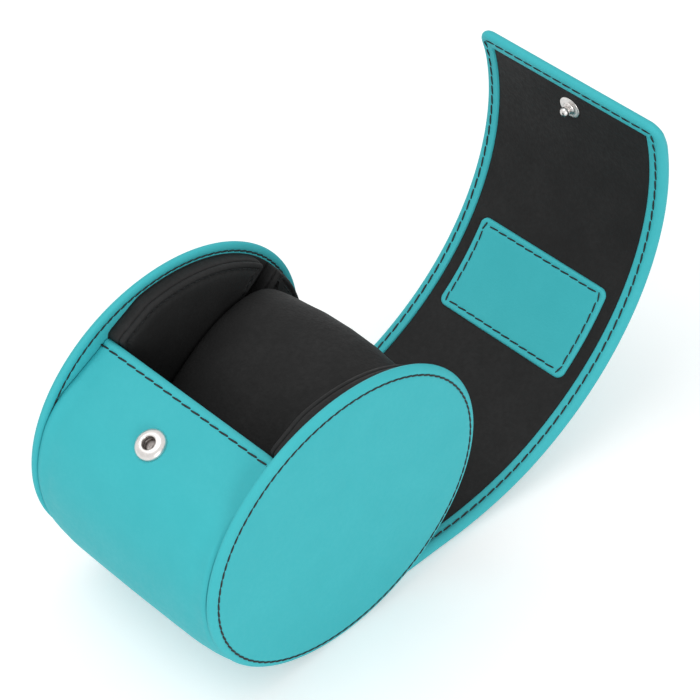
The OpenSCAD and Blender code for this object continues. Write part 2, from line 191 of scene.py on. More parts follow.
def leather(name, colour, deep, worn, rough, grain, grain_scale, wear_and_hollow_shade):
    """Grained leather: cells of grain over soft mottling, paler where edges are rubbed, with painted shade
    darkening the seams and other hollows.
    """
    material, nodes, links, shader = new_material(name)
    coords = nodes.new("ShaderNodeTexCoord").outputs["Object"]
    mottle = noise(nodes, links, coords, 90, 3)
    fine = noise(nodes, links, coords, 700, 5, 0.6)
    cells = nodes.new("ShaderNodeTexVoronoi")
    cells.feature = "SMOOTH_F1"
    cells.inputs["Scale"].default_value = grain_scale
    cells.inputs["Smoothness"].default_value = 0.4
    links.new(coords, cells.inputs["Vector"])
    tone = ramp(nodes, links, mottle, 0.3, 0.7, 0.0, 1.0)
    base = mix(nodes, links, tone, deep, colour)
    speck = ramp(nodes, links, fine, 0.35, 0.75, 0.0, 0.6)
    base = mix(nodes, links, speck, base, deep)
    edge = nodes.new("ShaderNodeNewGeometry").outputs["Pointiness"]
    # the last argument sets both the paler rubbed edges, which is wear, and how dark the painted shade in hollows
    # is
    rubbed = ramp(nodes, links, edge, 0.505, 0.56, 0.0, wear_and_hollow_shade)
    base = mix(nodes, links, rubbed, base, worn)
    # painted shade: seams, creases and other hollows are darkened towards the deep colour
    sunk = ramp(nodes, links, edge, 0.44, 0.492, wear_and_hollow_shade, 0.0)
    base = mix(nodes, links, sunk, base, deep)
    links.new(base, shader.inputs["Base Color"])
    links.new(ramp(nodes, links, fine, 0.3, 0.7, rough - 0.06, rough + 0.07), shader.inputs["Roughness"])
    shader.inputs["Specular IOR Level"].default_value = 0.16
    soft = bump(nodes, links, mottle, 0.12, 0.0004)
    skin = bump(nodes, links, cells.outputs["Distance"], grain, 0.00022, soft)
    links.new(bump(nodes, links, fine, grain * 0.7, 0.0001, skin), shader.inputs["Normal"])
    return material


def thread_material():
    material, nodes, links, shader = new_material("thread_black")
    coords = nodes.new("ShaderNodeTexCoord").outputs["Object"]
    fuzz = noise(nodes, links, coords, 5200, 3)
    links.new(mix(nodes, links, fuzz, srgb(8, 14, 16), srgb(20, 26, 28)), shader.inputs["Base Color"])
    links.new(ramp(nodes, links, fuzz, 0.3, 0.7, 0.55, 0.75), shader.inputs["Roughness"])
    links.new(bump(nodes, links, fuzz, 0.5, 0.0001), shader.inputs["Normal"])
    return material


def metal(name, colour, deep, rough, scratch):
    """Plated metal with fine brushing and painted shade darkening its corners."""
    material, nodes, links, shader = new_material(name)
    coords = nodes.new("ShaderNodeTexCoord").outputs["Object"]
    stretch = nodes.new("ShaderNodeMapping")
    stretch.inputs["Scale"].default_value = (9.0, 1.0, 1.0)
    links.new(coords, stretch.inputs["Vector"])
    brushed = noise(nodes, links, stretch.outputs["Vector"], 900, 4, 0.7)
    cloudy = noise(nodes, links, coords, 500, 2)
    edge = nodes.new("ShaderNodeNewGeometry").outputs["Pointiness"]
    # painted shade: hollow corners are darkened towards the deep colour
    painted_corner_shade = ramp(nodes, links, edge, 0.42, 0.5, 0.7, 0.0)
    base = mix(nodes, links, ramp(nodes, links, cloudy, 0.3, 0.7, 0.0, 0.5), colour, deep)
    links.new(mix(nodes, links, painted_corner_shade, base, deep), shader.inputs["Base Color"])
    shader.inputs["Metallic"].default_value = 1.0
    links.new(ramp(nodes, links, brushed, 0.3, 0.7, rough - 0.05, rough + 0.08), shader.inputs["Roughness"])
    links.new(bump(nodes, links, brushed, scratch, 0.00003), shader.inputs["Normal"])
    return material


TEAL = leather(
    "leather_teal", srgb(71, 193, 201), srgb(67, 189, 197), srgb(84, 202, 209), 0.56, 0.1, 1500, 0.3
)
BLACK = leather(
    "leather_black", srgb(42, 42, 42), srgb(34, 34, 34), srgb(57, 57, 58), 0.66, 0.3, 1250, 0.3
)
THREAD = thread_material()
NICKEL = metal("nickel", srgb(226, 223, 220), srgb(196, 190, 187), 0.3, 0.03)
DARK_NICKEL = metal("nickel_dark", srgb(176, 170, 167), srgb(120, 113, 111), 0.42, 0.1)
BRASS = metal("brass", srgb(190, 160, 100), srgb(120, 96, 58), 0.34, 0.2)


# ---- mesh helpers ----
def put(points):
    return np.asarray(points, float) * MM + CENTRE


def smoothstep(a, b, v):
    t = np.clip((np.asarray(v, float) - a) / (b - a), 0, 1)
    return t * t * (3 - 2 * t)


def hump(v, middle, width):
    """A soft bump of height 1 at middle."""
    return np.exp(-(((np.asarray(v, float) - middle) / width) ** 2))


def make_piece(name, points, faces, material, normals=None):
    mesh = bpy.data.meshes.new(name)
    mesh.from_pydata(put(points).tolist(), [], [list(map(int, f)) for f in faces])
    mesh.polygons.foreach_set("use_smooth", [True] * len(mesh.polygons))
    mesh.materials.append(material)
    piece = bpy.data.objects.new(name, mesh)
    bpy.context.scene.collection.objects.link(piece)
    if normals is None:
        face_outward(mesh)
    else:
        mesh.normals_split_custom_set_from_vertices([tuple(n) for n in normals])
    return piece


def face_outward(mesh):
    work = bmesh.new()
    work.from_mesh(mesh)
    bmesh.ops.recalc_face_normals(work, faces=work.faces)
    work.to_mesh(mesh)
    work.free()


def grid_faces(rows, cols):
    """Faces of rows of points whose columns close on themselves."""
    return [
        (i * cols + j, i * cols + (j + 1) % cols, (i + 1) * cols + (j + 1) % cols, (i + 1) * cols + j)
        for i in range(rows - 1)
        for j in range(cols)
    ]


def vertex_normals(points, faces):
    """Area-weighted normal of each point of a quad mesh."""
    p = np.asarray(points, float)
    f = np.asarray(faces)
    n = np.cross(p[f[:, 2]] - p[f[:, 0]], p[f[:, 3]] - p[f[:, 1]])
    total = np.zeros_like(p)
    for k in range(4):
        np.add.at(total, f[:, k], n)
    length = np.linalg.norm(total, axis=1, keepdims=True)
    return total / np.maximum(length, 1e-12)


def along(line, pitch, start=0.5):
    """Places at an even pitch on a line of points: their points and directions."""
    line = np.asarray(line, float)
    steps = np.linalg.norm(np.diff(line, axis=0), axis=1)
    where = np.concatenate([[0], np.cumsum(steps)])

    def at_distance(d):
        return np.stack([np.interp(d, where, line[:, k]) for k in range(line.shape[1])], 1)

    count = max(1, round(where[-1] / pitch))
    at = (np.arange(count) + start) * where[-1] / count
    way = at_distance(np.minimum(at + 0.3, where[-1])) - at_distance(np.maximum(at - 0.3, 0))
    return at_distance(at), way / np.linalg.norm(way, axis=1, keepdims=True)


# ---- stitches ----
# place along half the stitch, share of its width and lift in mm
STITCH_RINGS = [
    (-1.0, 0.4, -0.3), (-0.93, 0.8, -0.04), (-0.7, 1.0, 0.06), (-0.25, 1.0, 0.1),
    (0.25, 1.0, 0.1), (0.7, 1.0, 0.06), (0.93, 0.8, -0.04), (1.0, 0.4, -0.3)
]
STITCH_SIDES = 7


def stitches(name, places, ways, ups, length=3.6, width=0.56, slant=5.0):
    """A row of thread stitches, each a short soft strand whose ends dip into the leather."""
    points, faces = [], []
    turn = math.radians(slant)
    for place, way, up in zip(places, ways, ups):
        side = np.cross(up, way)
        side /= np.linalg.norm(side)
        way = way * math.cos(turn) + side * math.sin(turn)
        side = np.cross(up, way)
        first = len(points)
        for t, size, lift in STITCH_RINGS:
            for k in range(STITCH_SIDES):
                a = 2 * math.pi * k / STITCH_SIDES
                points.append(
                    place
                    + way * t * length / 2
                    + up * (lift + 0.72 * size * width / 2 * math.sin(a))
                    + side * size * width / 2 * math.cos(a)
                )
        faces += [tuple(first + v for v in f) for f in grid_faces(len(STITCH_RINGS), STITCH_SIDES)]
        last = first + (len(STITCH_RINGS) - 1) * STITCH_SIDES
        faces.append(tuple(first + k for k in range(STITCH_SIDES)))
        faces.append(tuple(last + k for k in range(STITCH_SIDES)))
    return make_piece(name, points, faces, THREAD)


# ---- the long sheet: front wall and flap in one run ----
def flap_headings():
    out = [math.radians(PANEL_TILT)]
    for length, radius in zip(PANEL_LENGTHS, PANEL_RADII):
        out.append(out[-1] + (length / radius if radius else 0))
    return out


HEADINGS = flap_headings()
STARTS = np.concatenate([[0], np.cumsum(PANEL_LENGTHS)])
FLAP_END = STARTS[-1]


def wall_profile():
    """Outer side of the wall from the fold line under the case, round the front and up to the rim."""
    c, s = math.cos(SLOPE), math.sin(SLOPE)
    fold = HINGES[0]
    low = -(HALF_HIGH - WALL_IN)
    line = [(y, low) for y in np.linspace(fold[0], 0, 60)]
    bend = np.array([BEND_S * c - BEND_N * s, BEND_S * s + BEND_N * c])
    foot = bend + BEND_R * np.array([math.cos(math.radians(BEND_END)), math.sin(math.radians(BEND_END))])
    half = np.array([HALF_LEN - WALL_IN, HALF_HIGH - WALL_IN])
    last = math.atan2(foot[1] / half[1], -foot[0] / half[0])
    for a in np.linspace(math.radians(-90), last, 240)[1:]:
        line.append((-half[0] * math.cos(a), half[1] * math.sin(a)))
    for a in np.radians(np.linspace(BEND_END, 90 + WALL_SLOPE, 60))[1:]:
        line.append(tuple(bend + BEND_R * np.array([math.cos(a), math.sin(a)])))
    for t in np.linspace(BEND_S, WALL_TOP, 60)[1:]:
        line.append((t * c - WALL_FLAT * s, t * s + WALL_FLAT * c))
    line = np.array(line)
    steps = np.linalg.norm(np.diff(line, axis=0), axis=1)
    where = np.concatenate([[0], np.cumsum(steps)])
    even = np.linspace(0, where[-1], 900)
    line = np.stack([np.interp(even, where, line[:, k]) for k in (0, 1)], 1)
    window = 15
    soft = line.copy()
    for k in (0, 1):
        padded = np.pad(line[:, k], window, mode="reflect", reflect_type="odd")
        soft[:, k] = np.convolve(padded, np.ones(2 * window + 1) / (2 * window + 1), "valid")
    return even, soft


WALL_AT, WALL_LINE = wall_profile()
WALL_LEN = WALL_AT[-1]
WALL_DIR = np.gradient(WALL_LINE, WALL_AT, axis=0)


def spot(s):
    """Outer side, inward normal and thickness of the sheet at s: behind the fold line s is below zero."""
    s = np.atleast_1d(np.asarray(s, float))
    outer = np.zeros((len(s), 2))
    inward = np.zeros((len(s), 2))
    thick = WALL_T + (FLAP_T - WALL_T) * smoothstep(-9, 0, s)
    thick -= TIP_THIN * smoothstep(FLAP_END - 11, FLAP_END - 1, s)
    thick -= FOOT_THIN * smoothstep(4, 26, s) * (1 - smoothstep(40, 82, s))
    wall = s < 0
    for k in (0, 1):
        outer[wall, k] = np.interp(-s[wall], WALL_AT, WALL_LINE[:, k])
    way = np.stack([np.interp(-s[wall], WALL_AT, WALL_DIR[:, k]) for k in (0, 1)], 1)
    way /= np.maximum(np.linalg.norm(way, axis=1, keepdims=True), 1e-9)
    inward[wall] = np.stack([way[:, 1], -way[:, 0]], 1)
    for i, (start, length, radius) in enumerate(zip(STARTS, PANEL_LENGTHS, PANEL_RADII)):
        last = i == len(PANEL_LENGTHS) - 1
        here = (s >= start) & ((s < start + length) | last)
        u = s[here] - start
        h = HEADINGS[i]
        if radius:
            a = h + u / radius
            lining = HINGES[i] + radius * np.stack([np.sin(a) - math.sin(h), math.cos(h) - np.cos(a)], 1)
        else:
            a = np.full(len(u), h)
            lining = HINGES[i] + np.outer(u, [math.cos(h), math.sin(h)])
        inward[here] = np.stack([-np.sin(a), np.cos(a)], 1)
        outer[here] = lining - thick[here][:, None] * inward[here]
    return outer, inward, thick


def half_width(s):
    wide = FLAP_HALF + FLAP_FLARE * smoothstep(30, 60, s)
    return wide + (XI - 0.03 - wide) * (1 - smoothstep(-10, -1, s))


def on_sheet(x, s, height):
    """Points at x, at s along the sheet and at a height above its outer side."""
    x, s, height = (np.atleast_1d(np.asarray(v, float)) for v in np.broadcast_arrays(x, s, height))
    outer, inward, _ = spot(s)
    yz = outer + inward * height[:, None]
    return np.column_stack([x, yz])


def round_corner(dx, ds, r):
    """Moves a point given by its distances inside the side and the free edge so that the corner is round."""
    d = min(dx, ds)
    if max(dx, ds) >= r or r <= 0:
        return dx, ds
    big = r - d
    run = (r - ds) if dx <= ds else big + (dx - d)
    a = run / (2 * big) * math.pi / 2
    return r - big * math.cos(a), r - big * math.sin(a)


EDGE_STEPS = [0, 0.1, 0.4, 0.9, 1.5, 2.0, 2.35, 2.6, 2.85, 3.3, 3.9, 4.5, 4.84, 4.99, 5.16, 5.6, 6.3, 7.2]


def roll_height(d, thick, upper):
    """Height of one side of the sheet at a distance d inside a turned edge."""
    r = thick / 2
    q = np.clip(d, 0, r)
    arc = np.sqrt(np.maximum(r * r - (r - q) ** 2, 0))
    return r + arc if upper else r - arc


def seam_shape(d, phase):
    """How far leather stands up round a seam at STITCH_IN: full beside it, sunk and puckered in it."""
    groove = -(0.15 + 0.05 * math.cos(phase)) * hump(d, STITCH_IN, 0.42)
    puff = 0.1 * hump(d, 1.5, 0.6) + 0.07 * hump(d, 3.7, 0.6)
    return groove + puff


def wall_fullness(x, s, side, end):
    """How far the outside of the wall stands out of its line, at distances inside the disc and under the rim."""
    full = WALL_FULL * max(0.0, 1 - (x / XI) ** 2) * float(smoothstep(0, 9, end) * smoothstep(-8, -45, s))
    valley = WALL_VALLEY * float(hump(abs(x), XI - 4.5, 3.2))
    valley *= float(smoothstep(-20, -50, s) * smoothstep(1, 14, end))
    tuck = WALL_TUCK * float((1 - smoothstep(0, 1.7, side)) * smoothstep(-6, -20, s) * smoothstep(0, 3, end))
    low = WALL_LOW * float(smoothstep(24, 46, end) * smoothstep(-12, -40, s))
    belly = WALL_BELLY * (0.45 + 0.55 * float(smoothstep(0, 5, side)))
    low += belly * float(smoothstep(52, 72, end) * smoothstep(-28, -52, s))
    return full + low - valley - tuck


def skin_height(x, s, upper):
    """Height of the leather above the sheet's outer line."""
    thick = float(spot(s)[2][0])
    side = float(half_width(s)) - abs(x)
    end = min(FLAP_END - s, s + WALL_LEN)
    at_side = smoothstep(-10, -2, s)
    h = thick if upper else 0.0
    near_end = end < side or s < -12
    d = end if near_end else side
    share = 1.0 if near_end else float(at_side)
    if d < thick / 2:
        h += share * (roll_height(d, thick, upper) - h)
    phase = 2 * math.pi * (x if near_end else s) / STITCH_PITCH
    lift = share * float(seam_shape(d, phase))
    if s < 0 and not upper:
        lift += wall_fullness(x, s, side, end)
        off = math.hypot(x - SNAP_X, s + WALL_LEN - WALL_T / 2 - SOCKET_AT)
        lift -= SOCKET_SINK * (1 - float(smoothstep(2.6, 3.9, off)))
    if upper:
        hem = min(side, end)
        return h + lift - (LINING_STEP + 0.9) * float(smoothstep(HEM_W - 0.05, HEM_W + 0.25, hem))
    return h - lift


def sheet_rows(low, high, step):
    count = max(2, round((high - low) / step) + 1)
    return list(np.linspace(low, high, count))


# the sheet is cut at the middle of each panel, so each cut piece spans one fold line
CUTS = [-18.0] + [float(STARTS[i] + PANEL_LENGTHS[i] / 2) for i in range(4)]


def sheet_stations():
    """Rows along the sheet: close together at both ends, and one at each cut."""
    rows = [-WALL_LEN + e for e in EDGE_STEPS]
    rows += sheet_rows(rows[-1], CUTS[0], 1.2)[1:]
    stops = CUTS + [FLAP_END - EDGE_STEPS[-1]]
    for a, b in zip(stops, stops[1:]):
        rows += sheet_rows(a, b, STITCH_PITCH / 4)[1:]
    rows += [FLAP_END - e for e in reversed(EDGE_STEPS)][1:]
    return rows


def sheet_columns():
    """Distances inside the nearer side, with their sign: one row across the sheet."""
    inner = sheet_rows(0, FLAP_HALF - EDGE_STEPS[-1], STITCH_PITCH / 4)
    right = [FLAP_HALF - e for e in reversed(EDGE_STEPS)]
    half = inner + right[1:]
    return [-v for v in reversed(half[1:])] + half


STATIONS = sheet_stations()
COLUMNS = sheet_columns()


def place_on_sheet(column, s):
    """x and s of a column at a row, spread to the sheet's width there and rounded at the free corners."""
    width = float(half_width(s))
    x = abs(column) / FLAP_HALF * width
    dx, ds = round_corner(width - x, FLAP_END - s, TIP_R)
    return math.copysign(width - dx, column) if column else 0.0, FLAP_END - ds


def flat_place(column, s):
    """Distances that decide the heights, before the corner is rounded."""
    width = float(half_width(s))
    return math.copysign(abs(column) / FLAP_HALF * width, column) if column else 0.0, s


def build_skin():
    points, loop = [], len(COLUMNS) * 2 - 2
    for s in STATIONS:
        rows = []
        for upper, columns in ((True, COLUMNS), (False, COLUMNS[-2:0:-1])):
            for column in columns:
                x, at = place_on_sheet(column, s)
                fx, fs = flat_place(column, s)
                rows.append((x, at, skin_height(fx, fs, upper)))
        rows = np.array(rows)
        points.append(on_sheet(rows[:, 0], rows[:, 1], rows[:, 2]))
    points = np.concatenate(points)
    faces = grid_faces(len(STATIONS), loop)
    k = len(COLUMNS)
    merge = np.arange(len(points))
    for row in (0, len(STATIONS) - 1):
        for b in range(1, k - 1):
            merge[row * loop + k - 1 + b] = row * loop + k - 1 - b
    return points, np.array([[merge[v] for v in f] for f in faces]), loop


def cut_sheet(points, faces, loop, names, material):
    """Splits a sheet at CUTS into pieces that share their seam's points and normals, each closed at its cuts."""
    normals = vertex_normals(points, faces)
    rows = faces.min(axis=1) // loop
    bounds = [0] + [STATIONS.index(c) for c in CUTS] + [len(STATIONS) - 1]
    pieces = []
    for name, low, high in zip(names, bounds, bounds[1:]):
        own = faces[(rows >= low) & (rows < high)]
        used, flat = np.unique(own, return_inverse=True)
        own = [tuple(f) for f in flat.reshape(-1, 4)]
        own = [tuple(dict.fromkeys(f)) for f in own]
        own = [f for f in own if len(f) > 2]
        back = {int(v): i for i, v in enumerate(used)}
        if low > 0:
            own.append(tuple(back[low * loop + j] for j in range(loop)))
        if high < len(STATIONS) - 1:
            own.append(tuple(back[high * loop + j] for j in range(loop))[::-1])
        pieces.append(make_piece(name, points[used], own, material, normals[used]))
    return pieces


def build_lining():
    """A thin sheet inside the hem, its sides turned down."""
    inset = HEM_W + 0.02
    half = FLAP_HALF - inset
    drop = [0, 0.12, 0.4, 0.9, 1.8]
    level = [0.75, 0.3, 0.1, 0.02, 0.0]
    inner = sheet_rows(0, half - drop[-1], 1.6)
    right = [half - e for e in reversed(drop)]
    row = inner + right[1:]
    columns = [-v for v in reversed(row[1:])] + row
    loop = len(columns) * 2 - 2
    points = []
    for s in STATIONS:
        near = min(FLAP_END - s, s + WALL_LEN)
        at = min(max(s, -WALL_LEN + inset), FLAP_END - inset)
        spread = 1 + FLAP_FLARE * float(smoothstep(30, 60, s)) / half
        rows = []
        for upper, line in ((True, columns), (False, columns[-2:0:-1])):
            for column in line:
                side = half - abs(column)
                end = max(near - inset, 0.0)
                d = min(side, end)
                x = column * spread
                if FLAP_END - s < TIP_R + 1:
                    dx, ds = round_corner(side, end, 0.9)
                    x = math.copysign(half - dx, column) * spread if column else 0.0
                    at = FLAP_END - inset - ds
                base = float(spot(at)[2][0]) - LINING_STEP
                sink = float(np.interp(d, drop, level))
                rows.append((x, at, base - sink if upper else base - 0.8))
        rows = np.array(rows)
        points.append(on_sheet(rows[:, 0], rows[:, 1], rows[:, 2]))
    points = np.concatenate(points)
    return points, np.array(grid_faces(len(STATIONS), loop)), loop


def bend_pieces(pieces):
    """The first piece stays on the shell, and each later one has its placement baked into its points."""
    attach(pieces[0], "shell")
    for i, piece in enumerate(pieces[1:]):
        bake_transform(piece)


def edge_run(inset, start):
    """The line at a distance inside the flap's outline: up one side, round the tip and down the other."""
    width = FLAP_HALF + FLAP_FLARE - inset
    r = TIP_R - inset
    side = [(float(half_width(s)) - inset, s) for s in np.linspace(start, FLAP_END - TIP_R, 240)]
    quarter = np.linspace(0, math.pi / 2, 14)[1:]
    corner = [(width - r + r * math.cos(a), FLAP_END - TIP_R + r * math.sin(a)) for a in quarter]
    tip = [(x, FLAP_END - inset) for x in np.linspace(width - r, 0, 40)[1:]]
    half = side + corner + tip
    return np.array(half + [(-x, s) for x, s in reversed(half[:-1])])


def seam_on_flap(upper):
    """Places, directions and outward normals of the stitches round the flap."""
    run = edge_run(STITCH_IN, 1.5)
    middle, way = along(run, STITCH_PITCH)
    heights = []
    for x, s in middle:
        rise = float(seam_shape(STITCH_IN, math.pi))
        heights.append(float(spot(s)[2][0]) + rise if upper else -rise)
    places = on_sheet(middle[:, 0], middle[:, 1], np.array(heights))
    ahead = on_sheet(middle[:, 0] + way[:, 0] * 0.2, middle[:, 1] + way[:, 1] * 0.2, np.array(heights))
    ways = ahead - places
    ways /= np.linalg.norm(ways, axis=1, keepdims=True)
    _, inward, _ = spot(middle[:, 1])
    ups = np.column_stack([np.zeros(len(inward)), inward]) * (1 if upper else -1)
    return middle[:, 1], places, ways, ups


def stitch_flap():
    for label, upper in (("in", True), ("out", False)):
        at, places, ways, ups = seam_on_flap(upper)
        stops = [-30.0] + CUTS[1:] + [FLAP_END + 1]
        for i, (low, high) in enumerate(zip(stops, stops[1:])):
            own = (at >= low) & (at < high)
            row = stitches(f"flap_stitches_{label}_{i + 1}", places[own], ways[own], ups[own])
            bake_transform(row)


def stitch_wall():
    """The row of stitches under the rim of the wall, on its outer side."""
    inset = 2.75
    xs = np.linspace(-XI + 1.4, XI - 1.6, 19)
    s = -WALL_LEN + inset
    for label, upper in (("out", False), ("in", True)):
        level = [skin_height(x, s, upper) if not upper else WALL_T - 0.1 for x in xs]
        places = on_sheet(xs, np.full(len(xs), s), np.array(level))
        _, inward, _ = spot(np.full(len(xs), s))
        ups = np.column_stack([np.zeros(len(xs)), inward]) * (1 if upper else -1)
        ways = np.tile([1.0, 0.0, 0.0], (len(xs), 1))
        row = stitches(f"wall_stitches_{label}", places, ways, ups)
        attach(row, "shell")


def make_sheet():
    points, faces, loop = build_skin()
    names = ["wall_skin"] + [f"flap_skin_{i + 1}" for i in range(5)]
    skins = cut_sheet(points, faces, loop, names, TEAL)
    points, faces, loop = build_lining()
    names = ["wall_inner"] + [f"flap_inner_{i + 1}" for i in range(5)]
    linings = cut_sheet(points, faces, loop, names, BLACK)
    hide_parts("wall_leather", "wall_edge", "wall_board")
    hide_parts("wall_lining")
    for i in range(5):
        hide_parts(f"flap_leather_{i + 1}", f"flap_board_{i + 1}")
        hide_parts(f"flap_lining_{i + 1}")
    bend_pieces(skins)
    bend_pieces(linings)
    stitch_flap()
    stitch_wall()


# ---- end discs ----
# distance inside the edge and height above the disc's inner side, from the middle of the outer face to the edge
DISC_OUTER = [
    (44.5, 3.2), (40.0, 3.2), (32.0, 3.2), (22.0, 3.2), (14.0, 3.19), (9.0, 3.17), (6.0, 3.13), (4.6, 3.09),
    (3.7, 3.04), (3.1, 2.98), (2.8, 2.9), (2.6, 2.8), (2.4, 2.74), (2.2, 2.78), (2.0, 2.86), (1.75, 2.88),
    (1.35, 2.78), (0.9, 2.54), (0.5, 2.2), (0.2, 1.82), (0.05, 1.46), (0.0, 1.12)
]
# and from the edge to the middle of the inner face
DISC_INNER = [
    (0.04, 0.86), (0.17, 0.62), (0.42, 0.38), (0.8, 0.18), (1.3, 0.06), (1.8, 0.1), (2.15, 0.25), (2.4, 0.34),
    (2.65, 0.28), (3.05, 0.15), (3.7, 0.06), (4.6, 0.03), (6.0, 0.02), (14.0, 0.02), (32.0, 0.02), (44.5, 0.02)
]
DISC_SEAM = 2.4
DISC_TURNS = 520
# share of the lining's outline and height above the disc's inner face
LINING_RINGS = [(1.0, -0.35), (1.001, -0.02), (0.999, 0.07), (0.992, 0.12), (0.9, 0.14), (0.5, 0.14), (0.02, 0.14)]


def ellipse_point(a, inset):
    return np.array([(HALF_LEN - inset) * math.cos(a), (HALF_HIGH - inset) * math.sin(a)])


def ellipse_line(inset, count=720):
    return np.array([ellipse_point(a, inset) for a in np.linspace(0, 2 * math.pi, count + 1)])


def even_angles(count):
    """Directions that step evenly along the disc's edge."""
    dense = np.linspace(0, 2 * math.pi, 4001)
    line = np.array([ellipse_point(a, DISC_SEAM) for a in dense])
    where = np.concatenate([[0], np.cumsum(np.linalg.norm(np.diff(line, axis=0), axis=1))])
    return np.interp(np.linspace(0, where[-1], count + 1)[:-1], where, dense), where[-1]


def close_ends(faces, rows, turns):
    """Adds the faces that shut the first and the last of rows of points."""
    faces.append(tuple(range(turns)))
    faces.append(tuple(range((rows - 1) * turns, rows * turns)))
    return faces


def make_disc_lining(side, label):
    """The thin black lining on the inner face of a disc, behind the pads."""
    edge = outline(in_disc_lining, (0.0, 0.0), DISC_TURNS)
    points = []
    for share, h in LINING_RINGS:
        points += [(side * (XI - h), y, z) for y, z in edge * share]
    rows = len(LINING_RINGS)
    faces = close_ends(grid_faces(rows, DISC_TURNS), rows, DISC_TURNS)
    lining = make_piece(f"disc_inner_{label}", points, faces, BLACK)
    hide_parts(f"disc_lining_{label}")
    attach(lining, "shell")


def make_disc(side, label):
    angles, around = even_angles(DISC_TURNS)
    holes = round(around / DISC_PITCH)
    rows = DISC_OUTER + DISC_INNER
    points = []
    for d, h in rows:
        for i, a in enumerate(angles):
            pucker = 0.06 * math.cos(2 * math.pi * holes * i / DISC_TURNS) * float(hump(d, DISC_SEAM, 0.4))
            y, z = ellipse_point(a, d)
            out = h - pucker if h > DISC_T / 2 else h + pucker
            points.append((side * (XI + out), y, z))
    faces = close_ends(grid_faces(len(rows), DISC_TURNS), len(rows), DISC_TURNS)
    disc = make_piece(f"disc_{label}", points, faces, TEAL)
    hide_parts(f"disc_leather_{label}", f"disc_board_{label}")
    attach(disc, "shell")
    make_disc_lining(side, label)
    line, way = along(ellipse_line(DISC_SEAM), DISC_PITCH, start=1.0)
    for face, height, up in (("out", 2.78, 1), ("in", 0.3, -1)):
        places = np.column_stack([np.full(len(line), side * (XI + height)), line])
        ways = np.column_stack([np.zeros(len(line)), way])
        ups = np.tile([side * up * 1.0, 0, 0], (len(line), 1))
        name = f"disc_stitches_{face}_{label}"
        row = stitches(name, places, ways, ups, length=2.9, width=0.58, slant=6.0 * side * up)
        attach(row, "shell")


# ---- end pads ----
PAD_IN = 3.2
PAD_GAP_DIR = math.radians(41)
PAD_LOW_DIR = math.radians(-50)
PAD_SECTION = [
    (0.0, 0.0), (-0.06, 0.9), (-0.08, 1.8), (-0.04, 2.8), (0.12, 3.5), (0.42, 3.8), (0.62, 3.88), (0.42, 4.0),
    (0.26, 4.3), (0.28, 4.75), (0.5, 5.2), (0.9, 5.5), (1.3, 5.55), (1.7, 5.34), (2.0, 5.1), (2.3, 5.32),
    (2.8, 5.68), (3.6, 5.9), (4.8, 6.0)
]
PAD_SEAM = 2.0
PAD_GAP_FRONT = 1.5
PAD_GAP_BACK = -6.0
PAD_TURNS = 560


def turned(y, z, a):
    return y * math.cos(a) + z * math.sin(a), -y * math.sin(a) + z * math.cos(a)


def in_oval(y, z, inset):
    return (y / (HALF_LEN - inset)) ** 2 + (z / (HALF_HIGH - inset)) ** 2 <= 1


def behind_wall(y, z, depth):
    """True for places further inside the wall's outer side than depth, or just above its rim."""
    t, n = turned(y, z, SLOPE)
    if t >= WALL_TOP + 0.05:
        return n <= WALL_FLAT + 0.9
    if n > WALL_FLAT - depth:
        return False
    bend_t, bend_n = t - BEND_S, n - BEND_N
    return math.hypot(bend_t, bend_n) < BEND_R - depth or t > BEND_S or z < 4 or bend_n < 0


def in_main_pad(y, z):
    u, v = turned(y, z, PAD_GAP_DIR)
    if not in_oval(y, z, PAD_IN) or (u > 10 and v < PAD_GAP_FRONT):
        return False
    return behind_wall(y, z, WALL_T + 0.15)


def in_disc_lining(y, z):
    return in_oval(y, z, PAD_IN - 0.1) and behind_wall(y, z, 1.2)


def in_back_pad(y, z):
    u, v = turned(y, z, PAD_GAP_DIR)
    _, up = turned(y, z, PAD_LOW_DIR)
    return in_oval(y, z, PAD_IN) and u > 13 and v < PAD_GAP_BACK and up > 0


def outline(inside, centre, count):
    """Edge of a region seen from a point inside it, stepped evenly and softened at its corners."""
    line = []
    for a in np.linspace(0, 2 * math.pi, 1441)[:-1]:
        low, high = 0.0, 80.0
        for _ in range(22):
            r = (low + high) / 2
            if inside(centre[0] + r * math.cos(a), centre[1] + r * math.sin(a)):
                low = r
            else:
                high = r
        line.append((centre[0] + low * math.cos(a), centre[1] + low * math.sin(a)))
    return soften(even_loop(np.array(line), count), 3)


def even_loop(line, count):
    closed = np.vstack([line, line[:1]])
    where = np.concatenate([[0], np.cumsum(np.linalg.norm(np.diff(closed, axis=0), axis=1))])
    at = np.linspace(0, where[-1], count + 1)[:-1]
    return np.stack([np.interp(at, where, closed[:, k]) for k in (0, 1)], 1)


def soften(line, reach):
    kernel = np.exp(-((np.arange(-3 * reach, 3 * reach + 1) / reach) ** 2))
    kernel /= kernel.sum()
    wrapped = np.vstack([line[-3 * reach :], line, line[: 3 * reach]])
    return np.stack([np.convolve(wrapped[:, k], kernel, "valid") for k in (0, 1)], 1)


def loop_normals(line):
    """Inward normals of a loop that runs anticlockwise."""
    way = np.roll(line, -1, axis=0) - np.roll(line, 1, axis=0)
    way /= np.linalg.norm(way, axis=1, keepdims=True)
    return np.stack([-way[:, 1], way[:, 0]], 1)


